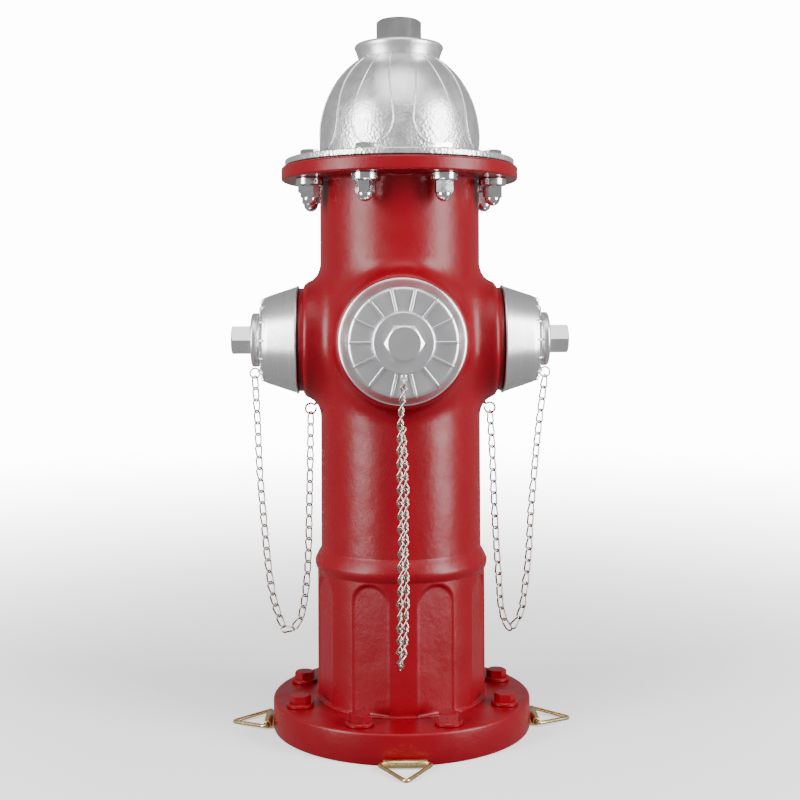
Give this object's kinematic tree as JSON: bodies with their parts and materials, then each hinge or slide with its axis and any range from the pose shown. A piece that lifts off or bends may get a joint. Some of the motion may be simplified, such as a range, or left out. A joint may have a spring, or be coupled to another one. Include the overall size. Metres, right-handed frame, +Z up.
{
  "type": "fire hydrant",
  "caption": "Free-standing hydrant with a domed bonnet, hexagonal operating nut, ribbed caps on chained hose outlets, fluted pedestal and tie-down rings.",
  "frame": {"origin": "centre of the base flange's underside, on the ground", "axes": "+Z up along the barrel and stem; the large front outlet faces -Y; the two hose outlets face -X and +X"},
  "size_m": [0.3568, 0.3568, 0.7426],
  "materials": {
    "red_paint": "semi-gloss red enamel over cast iron",
    "silver_casting": "satin cast aluminium",
    "bright_fastener": "bright zinc-nickel plate",
    "nickel_chain": "nickel-plated steel wire",
    "pale_brass": "yellow-passivated wire and strip",
    "stainless": "turned stainless steel",
    "black_rubber": "matt moulded rubber",
    "bronze": "machined bronze",
    "dark_iron": "black-painted casting"
  },
  "bodies": {
    "root": {"acorn_nuts": "bright_fastener", "barrel": "red_paint", "base_bolts": "red_paint", "base_flange": "red_paint", "base_washers": "red_paint", "bonnet": "silver_casting", "bonnet_bolts": "bright_fastener", "bonnet_gasket": "black_rubber", "bonnet_lower_washers": "bright_fastener", "bonnet_top_washers": "bright_fastener", "dust_seal": "black_rubber", "front_chain": "nickel_chain", "front_chain_eye": "red_paint", "front_nozzle": "bronze", "front_ring_strap": "pale_brass", "hold_down_collar": "silver_casting", "left_chain": "nickel_chain", "left_chain_eye": "red_paint", "left_nozzle": "bronze", "left_ring_strap": "pale_brass", "lower_thrust_washer": "bronze", "o_rings": "black_rubber", "pedestal": "red_paint", "rear_ring_strap": "pale_brass", "right_chain": "nickel_chain", "right_chain_eye": "red_paint", "right_nozzle": "bronze", "right_ring_strap": "pale_brass", "seat_ring": "bronze", "stem_guide": "dark_iron", "strap_screws": "stainless", "top_flange": "red_paint", "upper_thrust_washer": "bronze"},
    "operating_nut": {"operating_nut": "silver_casting"},
    "stem": {"stem": "stainless", "valve_rubber": "black_rubber", "valve_upper_plate": "dark_iron", "valve_lower_plate": "dark_iron", "valve_nut": "stainless"},
    "left_loop": {"left_cap_loop": "nickel_chain"},
    "left_cap": {"left_cap": "silver_casting", "left_cap_gasket": "black_rubber"},
    "right_loop": {"right_cap_loop": "nickel_chain"},
    "right_cap": {"right_cap": "silver_casting", "right_cap_gasket": "black_rubber"},
    "front_loop": {"front_cap_loop": "nickel_chain"},
    "front_cap": {"front_cap": "silver_casting", "front_cap_gasket": "black_rubber"},
    "right_tie_ring": {"right_tie_ring": "pale_brass"},
    "rear_tie_ring": {"rear_tie_ring": "pale_brass"},
    "left_tie_ring": {"left_tie_ring": "pale_brass"},
    "front_tie_ring": {"front_tie_ring": "pale_brass"}
  },
  "joints": [
    {"name": "operating_nut_turn", "type": "hinge", "parent": "root", "child": "operating_nut", "pos_m": [0, 0, 0.7], "axis": [0, 0, 1], "range_deg": [0, 2162]},
    {"name": "stem_lift", "type": "slide", "parent": "root", "child": "stem", "axis": [0, 0, 1], "range_m": [0, 0.03]},
    {"name": "left_cap_travel", "type": "slide", "parent": "root", "child": "left_loop", "axis": [-1, 0, 0], "range_m": [0, 0.02042], "deforming": ["left_chain"]},
    {"name": "left_cap_turn", "type": "hinge", "parent": "left_loop", "child": "left_cap", "pos_m": [-0.15, 0, 0.405], "axis": [-1, 0, 0], "range_deg": [0, 2160]},
    {"name": "right_cap_travel", "type": "slide", "parent": "root", "child": "right_loop", "axis": [1, 0, 0], "range_m": [0, 0.02042], "deforming": ["right_chain"]},
    {"name": "right_cap_turn", "type": "hinge", "parent": "right_loop", "child": "right_cap", "pos_m": [0.15, 0, 0.405], "axis": [1, 0, 0], "range_deg": [0, 2160]},
    {"name": "front_cap_travel", "type": "slide", "parent": "root", "child": "front_loop", "axis": [0, -1, 0], "range_m": [0, 0.02127], "deforming": ["front_chain"]},
    {"name": "front_cap_turn", "type": "hinge", "parent": "front_loop", "child": "front_cap", "pos_m": [0, -0.15, 0.405], "axis": [0, -1, 0], "range_deg": [0, 1800]},
    {"name": "right_tie_ring_swing", "type": "hinge", "parent": "root", "child": "right_tie_ring", "pos_m": [0.1405, 0, 0.0049], "axis": [0, -1, 0], "range_deg": [0, 98]},
    {"name": "rear_tie_ring_swing", "type": "hinge", "parent": "root", "child": "rear_tie_ring", "pos_m": [0, 0.1405, 0.0049], "axis": [1, 0, 0], "range_deg": [0, 98]},
    {"name": "left_tie_ring_swing", "type": "hinge", "parent": "root", "child": "left_tie_ring", "pos_m": [-0.1405, 0, 0.0049], "axis": [0, 1, 0], "range_deg": [0, 98]},
    {"name": "front_tie_ring_swing", "type": "hinge", "parent": "root", "child": "front_tie_ring", "pos_m": [0, -0.1405, 0.0049], "axis": [-1, 0, 0], "range_deg": [0, 98]}
  ],
  "couplings": [
    {"joint": "operating_nut_turn", "follows": "stem_lift", "rad_per_m": 1256.6},
    {"joint": "left_cap_travel", "follows": "left_cap_turn", "m_per_rad": 0.000539},
    {"joint": "right_cap_travel", "follows": "right_cap_turn", "m_per_rad": 0.000539},
    {"joint": "front_cap_travel", "follows": "front_cap_turn", "m_per_rad": 0.00067376}
  ]
}
